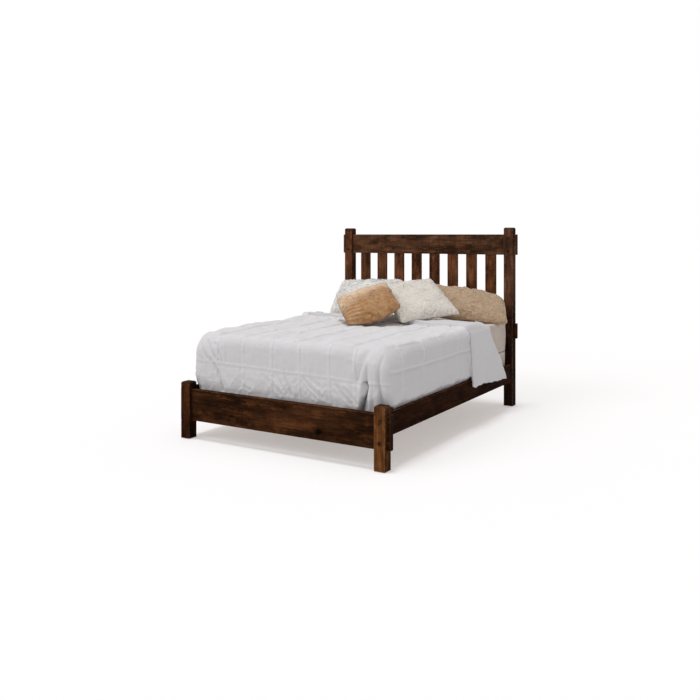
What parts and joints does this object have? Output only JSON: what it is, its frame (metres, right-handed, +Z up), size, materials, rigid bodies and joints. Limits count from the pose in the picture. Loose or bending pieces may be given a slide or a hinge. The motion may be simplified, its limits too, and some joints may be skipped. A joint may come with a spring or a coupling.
{
  "type": "bed",
  "caption": "Slatted wooden bed with square posts, through-tenoned rails and a quilted comforter turned back over a mattress and foundation, with loose pillows.",
  "frame": {"origin": "on the floor, under the middle of the bed", "axes": "+X to the right seen from the foot, +Y towards the headboard, +Z up"},
  "size_m": [1.6622, 2.2202, 1.461],
  "materials": {
    "walnut_stained_wood": "rough-sawn, dark brown stain, satin",
    "peg_wood": "turned, dark brown stain, satin",
    "plain_softwood": "planed, unfinished",
    "zinc_plated_steel": "zinc plated",
    "nylon": "moulded, matte",
    "foundation_cloth": "knitted ticking",
    "mattress_cloth": "quilted ticking",
    "sheet_cloth": "woven cotton, wrinkled",
    "quilt_cloth": "box-quilted, washed cotton",
    "white_fur": "long soft pile",
    "tan_cloth": "crushed, speckled weave",
    "cream_fleece": "nubby fleece",
    "gold_cloth": "short nap"
  },
  "bodies": {
    "frame": {"head_post_left": "walnut_stained_wood", "head_post_right": "walnut_stained_wood", "foot_post_left": "walnut_stained_wood", "foot_post_right": "walnut_stained_wood", "headboard_top_rail": "walnut_stained_wood", "headboard_lower_rail": "walnut_stained_wood", "headboard_slat_1": "walnut_stained_wood", "headboard_slat_2": "walnut_stained_wood", "headboard_slat_3": "walnut_stained_wood", "headboard_slat_4": "walnut_stained_wood", "headboard_slat_5": "walnut_stained_wood", "headboard_slat_6": "walnut_stained_wood", "headboard_slat_7": "walnut_stained_wood", "headboard_slat_8": "walnut_stained_wood", "headboard_pegs": "peg_wood", "footboard_rail": "walnut_stained_wood", "footboard_pegs": "peg_wood", "side_rail_left": "walnut_stained_wood", "side_rail_right": "walnut_stained_wood", "ledger_left": "plain_softwood", "ledger_right": "plain_softwood", "ledger_screws": "zinc_plated_steel", "rail_hook_plates": "zinc_plated_steel", "post_receiver_plates": "zinc_plated_steel", "plate_screws": "zinc_plated_steel", "bed_slat_1": "plain_softwood", "bed_slat_2": "plain_softwood", "bed_slat_3": "plain_softwood", "bed_slat_4": "plain_softwood", "bed_slat_5": "plain_softwood", "bed_slat_6": "plain_softwood", "bed_slat_7": "plain_softwood", "slat_screws": "zinc_plated_steel", "centre_beam": "plain_softwood", "centre_leg_1": "plain_softwood", "centre_leg_2": "plain_softwood", "centre_leg_3": "plain_softwood", "leg_bolts": "zinc_plated_steel", "leg_inserts": "zinc_plated_steel", "post_glides": "nylon"},
    "levelling_pad_body_1": {"levelling_pad_1": "nylon"},
    "levelling_stem_body_1": {"levelling_stem_1": "zinc_plated_steel"},
    "levelling_pad_body_2": {"levelling_pad_2": "nylon"},
    "levelling_stem_body_2": {"levelling_stem_2": "zinc_plated_steel"},
    "levelling_pad_body_3": {"levelling_pad_3": "nylon"},
    "levelling_stem_body_3": {"levelling_stem_3": "zinc_plated_steel"},
    "foundation_body": {"foundation_frame": "plain_softwood", "foundation_cover": "foundation_cloth"},
    "mattress_body": {"mattress": "mattress_cloth", "fitted_sheet": "sheet_cloth"},
    "comforter_body": {"comforter": "quilt_cloth"},
    "pillow_white_body": {"pillow_white": "white_fur"},
    "pillow_tan_body": {"pillow_tan": "tan_cloth"},
    "pillow_cream_body": {"pillow_cream": "cream_fleece"},
    "pillow_gold_body": {"pillow_gold": "gold_cloth"}
  },
  "joints": [
    {"name": "levelling_travel_1", "type": "slide", "parent": "frame", "child": "levelling_pad_body_1", "axis": [0, 0, 1], "range_m": [-0.012, 0.008]},
    {"name": "levelling_turn_1", "type": "hinge", "parent": "levelling_pad_body_1", "child": "levelling_stem_body_1", "pos_m": [0, -0.6, 0.012], "axis": [0, 0, 1], "range_deg": [-3456, 2304]},
    {"name": "levelling_travel_2", "type": "slide", "parent": "frame", "child": "levelling_pad_body_2", "axis": [0, 0, 1], "range_m": [-0.012, 0.008]},
    {"name": "levelling_turn_2", "type": "hinge", "parent": "levelling_pad_body_2", "child": "levelling_stem_body_2", "pos_m": [0, 0, 0.012], "axis": [0, 0, 1], "range_deg": [-3456, 2304]},
    {"name": "levelling_travel_3", "type": "slide", "parent": "frame", "child": "levelling_pad_body_3", "axis": [0, 0, 1], "range_m": [-0.012, 0.008]},
    {"name": "levelling_turn_3", "type": "hinge", "parent": "levelling_pad_body_3", "child": "levelling_stem_body_3", "pos_m": [0, 0.6, 0.012], "axis": [0, 0, 1], "range_deg": [-3456, 2304]},
    {"name": "foundation_lift", "type": "slide", "parent": "frame", "child": "foundation_body", "axis": [0, 0, 1], "range_m": [0, 0.3]},
    {"name": "mattress_lift", "type": "slide", "parent": "foundation_body", "child": "mattress_body", "axis": [0, 0, 1], "range_m": [0, 0.3]},
    {"name": "comforter_lift", "type": "slide", "parent": "mattress_body", "child": "comforter_body", "axis": [0, 0, 1], "range_m": [0, 0.3]},
    {"name": "pillow_white_lift", "type": "slide", "parent": "comforter_body", "child": "pillow_white_body", "axis": [0, 0, 1], "range_m": [0, 0.3]},
    {"name": "pillow_tan_lift", "type": "slide", "parent": "comforter_body", "child": "pillow_tan_body", "axis": [0, 0, 1], "range_m": [0, 0.3]},
    {"name": "pillow_cream_lift", "type": "slide", "parent": "pillow_tan_body", "child": "pillow_cream_body", "axis": [0, 0, 1], "range_m": [0, 0.3]},
    {"name": "pillow_gold_lift", "type": "slide", "parent": "pillow_cream_body", "child": "pillow_gold_body", "axis": [0, 0, 1], "range_m": [0, 0.3]}
  ],
  "couplings": [
    {"joint": "levelling_travel_1", "follows": "levelling_turn_1", "m_per_rad": 0.00019894},
    {"joint": "levelling_travel_2", "follows": "levelling_turn_2", "m_per_rad": 0.00019894},
    {"joint": "levelling_travel_3", "follows": "levelling_turn_3", "m_per_rad": 0.00019894}
  ]
}
